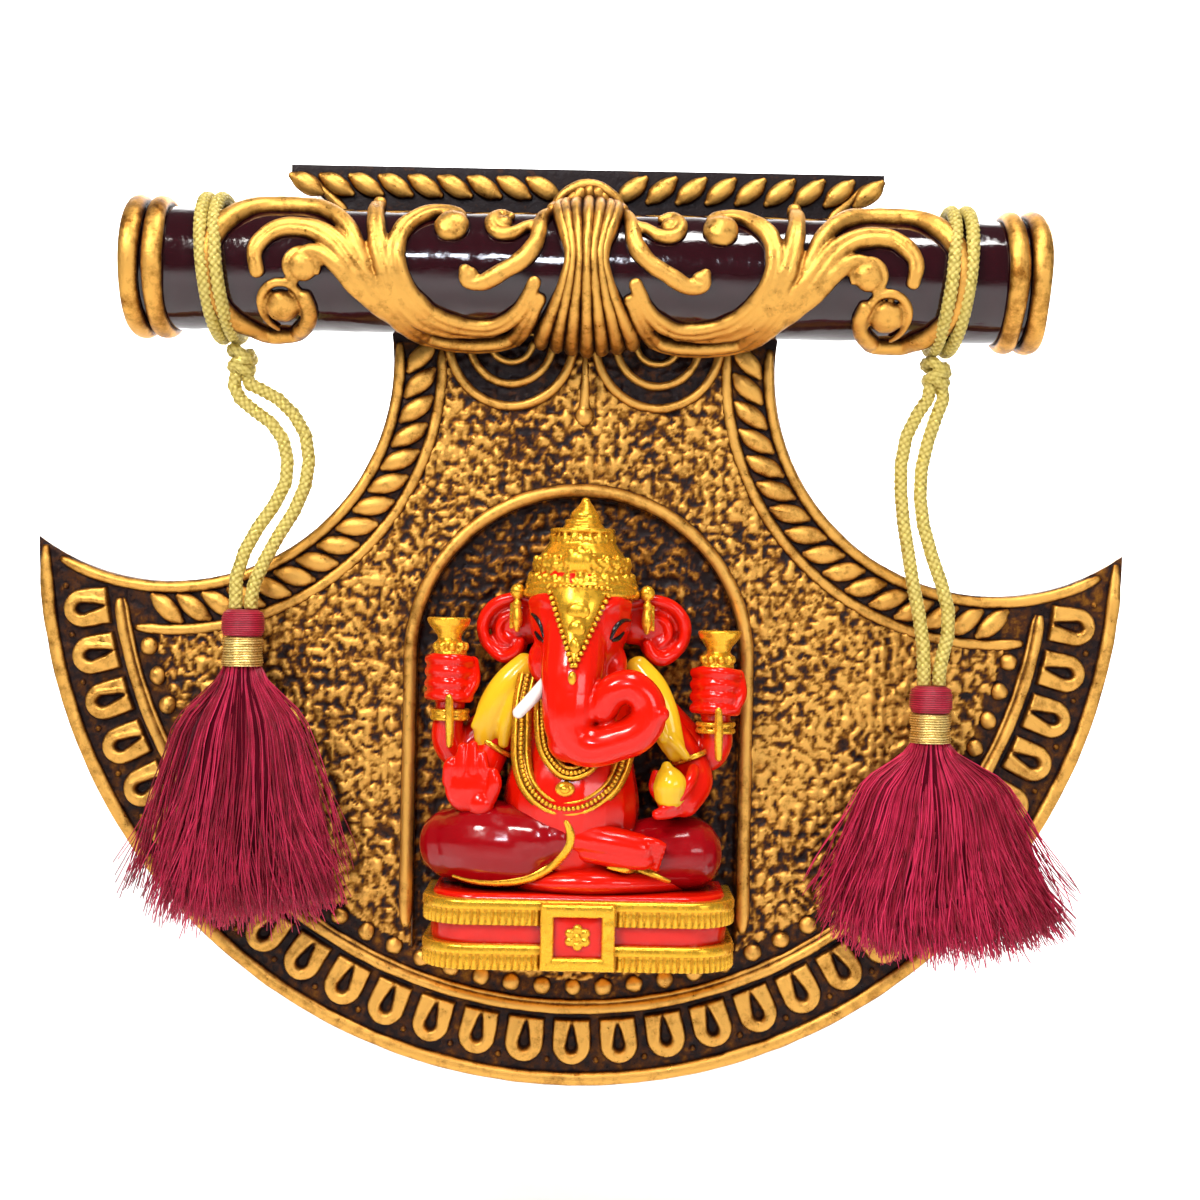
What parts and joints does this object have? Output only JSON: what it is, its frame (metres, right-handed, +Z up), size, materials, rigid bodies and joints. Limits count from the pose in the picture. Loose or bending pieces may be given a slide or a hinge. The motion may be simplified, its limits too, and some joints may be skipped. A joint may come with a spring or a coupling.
{
  "type": "ganesha wall hanging",
  "caption": "Axe-shaped wall plaque with a scroll-dressed round handle, a seated elephant-headed figure in an arched niche, and corded tassels hanging from the handle's ends.",
  "frame": {"origin": "centre of the hanger plate's round hole, on the flat back that lies against the wall", "axes": "+X to the viewer's right along the handle, +Y into the wall, +Z up; the front faces -Y"},
  "size_m": [0.216, 0.0357, 0.1825],
  "materials": {
    "antique_gold": "cast resin, black-brown ground with antique gold rubbed over the relief",
    "maroon_lacquer": "glossy dark maroon lacquer",
    "zinc_steel": "zinc-plated sheet steel",
    "vermilion_paint": "glossy vermilion enamel",
    "crimson_paint": "glossy crimson enamel",
    "bright_gold_paint": "bright gold metallic paint",
    "white_paint": "white enamel",
    "yellow_paint": "glossy golden-yellow enamel",
    "braided_cord": "braided yellow cord with metallic thread",
    "maroon_thread": "maroon satin thread",
    "metallic_thread": "wound metallic gold thread"
  },
  "bodies": {
    "plaque": {"blade_plate": "antique_gold", "blade_rim": "antique_gold", "petal_band": "antique_gold", "ridge_ring": "antique_gold", "bead_row": "antique_gold", "left_edge_beads": "antique_gold", "right_edge_beads": "antique_gold", "left_rope": "antique_gold", "right_rope": "antique_gold", "top_rope": "antique_gold", "niche_arch": "antique_gold", "swags": "antique_gold", "drop_pendant": "antique_gold", "rod": "maroon_lacquer", "left_end_rings": "antique_gold", "right_end_rings": "antique_gold", "left_scroll": "antique_gold", "right_scroll": "antique_gold", "leaf_clasp": "antique_gold", "hanger_plate": "zinc_steel", "hanger_screws": "zinc_steel", "pedestal": "vermilion_paint", "pedestal_upper_band": "bright_gold_paint", "pedestal_lower_band": "bright_gold_paint", "pedestal_plaque": "bright_gold_paint", "pedestal_rosette": "bright_gold_paint", "left_thigh": "crimson_paint", "right_thigh": "crimson_paint", "folded_foot": "vermilion_paint", "torso": "vermilion_paint", "head": "vermilion_paint", "trunk": "vermilion_paint", "left_ear": "vermilion_paint", "right_ear": "vermilion_paint", "tusk": "white_paint", "crown": "bright_gold_paint", "necklace": "bright_gold_paint", "shawl": "yellow_paint", "rear_left_arm": "vermilion_paint", "rear_right_arm": "vermilion_paint", "rear_left_emblem": "bright_gold_paint", "rear_right_emblem": "bright_gold_paint", "front_left_arm": "vermilion_paint", "front_right_arm": "vermilion_paint", "modak": "yellow_paint"},
    "left_loop": {"left_windings": "braided_cord", "left_knot": "braided_cord"},
    "right_loop": {"right_windings": "braided_cord", "right_knot": "braided_cord"},
    "left_tassel": {"left_strand_inner": "braided_cord", "left_strand_outer": "braided_cord", "left_tassel_head": "maroon_thread", "left_tassel_band": "metallic_thread", "left_tassel_skirt": "maroon_thread"},
    "right_tassel": {"right_strand_inner": "braided_cord", "right_strand_outer": "braided_cord", "right_tassel_head": "maroon_thread", "right_tassel_band": "metallic_thread", "right_tassel_skirt": "maroon_thread"}
  },
  "joints": [
    {"name": "left_loop_swing", "type": "hinge", "parent": "plaque", "child": "left_loop", "pos_m": [0, -0.0152, 0.0223], "axis": [-1, 0, 0], "range_deg": [0, 55]},
    {"name": "left_tassel_sway", "type": "hinge", "parent": "left_loop", "child": "left_tassel", "pos_m": [-0.067, -0.0152, 0.0042], "axis": [0, 1, 0], "range_deg": [-4, 30]},
    {"name": "right_loop_swing", "type": "hinge", "parent": "plaque", "child": "right_loop", "pos_m": [0, -0.0152, 0.0223], "axis": [-1, 0, 0], "range_deg": [0, 55]},
    {"name": "right_tassel_sway", "type": "hinge", "parent": "right_loop", "child": "right_tassel", "pos_m": [0.069, -0.0152, 0.0042], "axis": [0, -1, 0], "range_deg": [-4, 30]}
  ]
}
